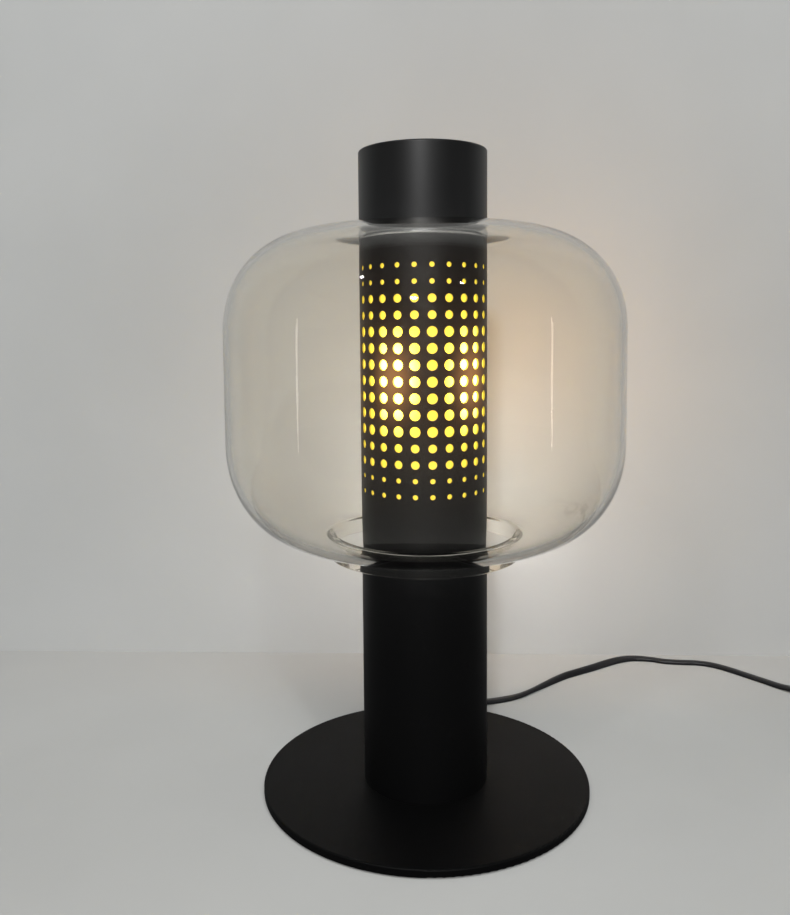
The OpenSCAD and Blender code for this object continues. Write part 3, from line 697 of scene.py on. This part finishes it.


# Cap. A short length of the same tube, closed by a flat roof and coated black. A plated collar inside it
# slips down into the screen through the glass, and silicone rings, painted dark for their shade, keep the
# metal off the glass.
cap_shine = 0.44
cap_coat = powder_coat("cap_coat", cap_shine, smoother_rough)
# The rings' colour is painted darker than the silicone, for the shade they sit in between the black parts.
soft_ring = grained(
    "soft_ring", (0.14, 0.138, 0.13), rough=0.55, grain=800.0, depth=0.02 * mm, shine=0.3,
)
dressed(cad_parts["cap_shell"], cap_coat)
dressed(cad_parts["cap_collar"], zinc_plate)
for node in ("seat_gasket", "cap_gasket"):
    dressed(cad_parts[node], soft_ring)


# Floor and backdrop. A pale matt table top that runs on past the lamp, and a pale board upright on it,
# close behind the lead. The board has one face, so that the lamp can be seen from behind as well. The
# table isn't mirrored in the lamp, and the board gives no shade and no light.
floor_colour = (0.47, 0.475, 0.462)
sheet_colour = (0.43, 0.438, 0.434)
floor_half = 4.0
sheet_y = 0.228
sheet_high = 3.0


def board(name, stuff, near, far):
    """A flat board as wide as the floor, from the place of its near edge to that of its far one."""
    corners = [(x, *edge) for edge in (near, far) for x in (-floor_half, floor_half)]
    mesh = bpy.data.meshes.new(name)
    mesh.from_pydata(corners, [], [(0, 1, 3, 2)])
    piece = dressed(added(mesh), stuff)
    return piece


def matt(name, colour):
    """A plain matt surface with a faint mottle."""
    return grained(
        name, colour, rough=0.75, grain=300.0, depth=0.02 * mm, patch=3.0, spread=0.03, shine=0.25,
    )


def one_faced(stuff):
    """A material that shows from its front alone."""
    nodes = stuff.node_tree.nodes
    add, join = wiring(stuff.node_tree)
    side = add("ShaderNodeNewGeometry")
    clear = add("ShaderNodeBsdfTransparent")
    either = add("ShaderNodeMixShader")
    join(side.outputs["Backfacing"], either.inputs[0])
    join(nodes["Principled BSDF"].outputs[0], either.inputs[1])
    join(clear.outputs[0], either.inputs[2])
    join(either.outputs[0], nodes["Material Output"].inputs["Surface"])
    return stuff


table_matt = matt("table_matt", floor_colour)
backdrop_matt = one_faced(matt("backdrop_matt", sheet_colour))
table_top = board("table_top", table_matt, (-floor_half, 0), (floor_half, 0))
table_top.visible_glossy = False
backdrop = board("backdrop", backdrop_matt, (sheet_y, 0), (sheet_y, sheet_high))
backdrop.visible_shadow = False
backdrop.visible_diffuse = False


# Light. An even, soft light from high in front, in a dim room that is palest at its horizon. A small lamp
# draws the upright highlight on the cap, and two spots and two strips draw glints on the glass, each with
# its place, size and power. The bulb's own light on the board comes from a warm soft box behind the screen.
sky_colour = (0.98, 0.99, 1.0)
sky_plain = 0.08
sky_rim = 0.16
rim_width = math.sin(math.radians(13))
room_lights = [
    (Vector((-0.16, -1.7, 1.17)), (0.12, 0.12), 17.5),
    (Vector((-0.86, -0.99, 1.66)), (0.07, 0.07), 3.0),
    (Vector((0.57, -1.33, 1.53)), (0.07, 0.07), 4.5),
    (Vector((-1.2, -0.49, 0.28)), (0.03, 0.46), 0.28),
    (Vector((1.2, -0.48, 0.28)), (0.03, 0.46), 0.28),
]
even_from = Vector((0.1, -1.0, 1.55))
even_power = 1.72
even_spread = math.radians(44)
lamp_middle = Vector((0, 0, 0.3))
back_place = Vector((0.06, 0.1, glow_z))
back_size = (0.07, 0.13)
back_power = 0.34
back_colour = (1.0, 0.45, 0.05)
room = bpy.data.worlds.new("room")
room.use_nodes = True
backcloth = room.node_tree.nodes["Background"]
add_to_room, join_in_room = wiring(room.node_tree)
reckon = maths(add_to_room, join_in_room)
toward = add_to_room("ShaderNodeTexCoord")
parts = add_to_room("ShaderNodeSeparateXYZ")
join_in_room(toward.outputs["Generated"], parts.inputs[0])
share = reckon("DIVIDE", parts.outputs["Z"], rim_width)
fall = reckon("EXPONENT", reckon("MULTIPLY", reckon("MULTIPLY", share, share), -1.0))
room_light = reckon("MULTIPLY_ADD", fall, sky_rim, sky_plain)
join_in_room(room_light, backcloth.inputs["Strength"])
backcloth.inputs["Color"].default_value = (*sky_colour, 1)
scene.world = room


def soft_box(name, place, size, power, aim):
    """An oval soft box that faces a point."""
    light = bpy.data.lights.new(name, "AREA")
    light.shape = "ELLIPSE"
    light.size, light.size_y = size
    light.energy = power
    box = bpy.data.objects.new(name, light)
    scene.collection.objects.link(box)
    box.location = place
    box.rotation_euler = (aim - place).to_track_quat("-Z", "Y").to_euler()
    return box


def hide(light, mirrored):
    """Hides a light itself from the eye and the glass, and from mirror images unless they are wanted."""
    light.visible_camera = False
    light.visible_transmission = False
    light.visible_glossy = mirrored


for k, (place, size, power) in enumerate(room_lights):
    hide(soft_box(f"room_light_{k}", place, size, power, lamp_middle), mirrored=True)
even_light = bpy.data.objects.new("even_light", bpy.data.lights.new("even_light", "SUN"))
scene.collection.objects.link(even_light)
even_light.data.energy = even_power
even_light.data.angle = even_spread
even_light.rotation_euler = (-even_from).to_track_quat("-Z", "Y").to_euler()
hide(even_light, mirrored=False)
back_glow = soft_box("back_glow", back_place, back_size, back_power, back_place + Vector((0, 1, 0)))
back_glow.data.color = back_colour
hide(back_glow, mirrored=False)
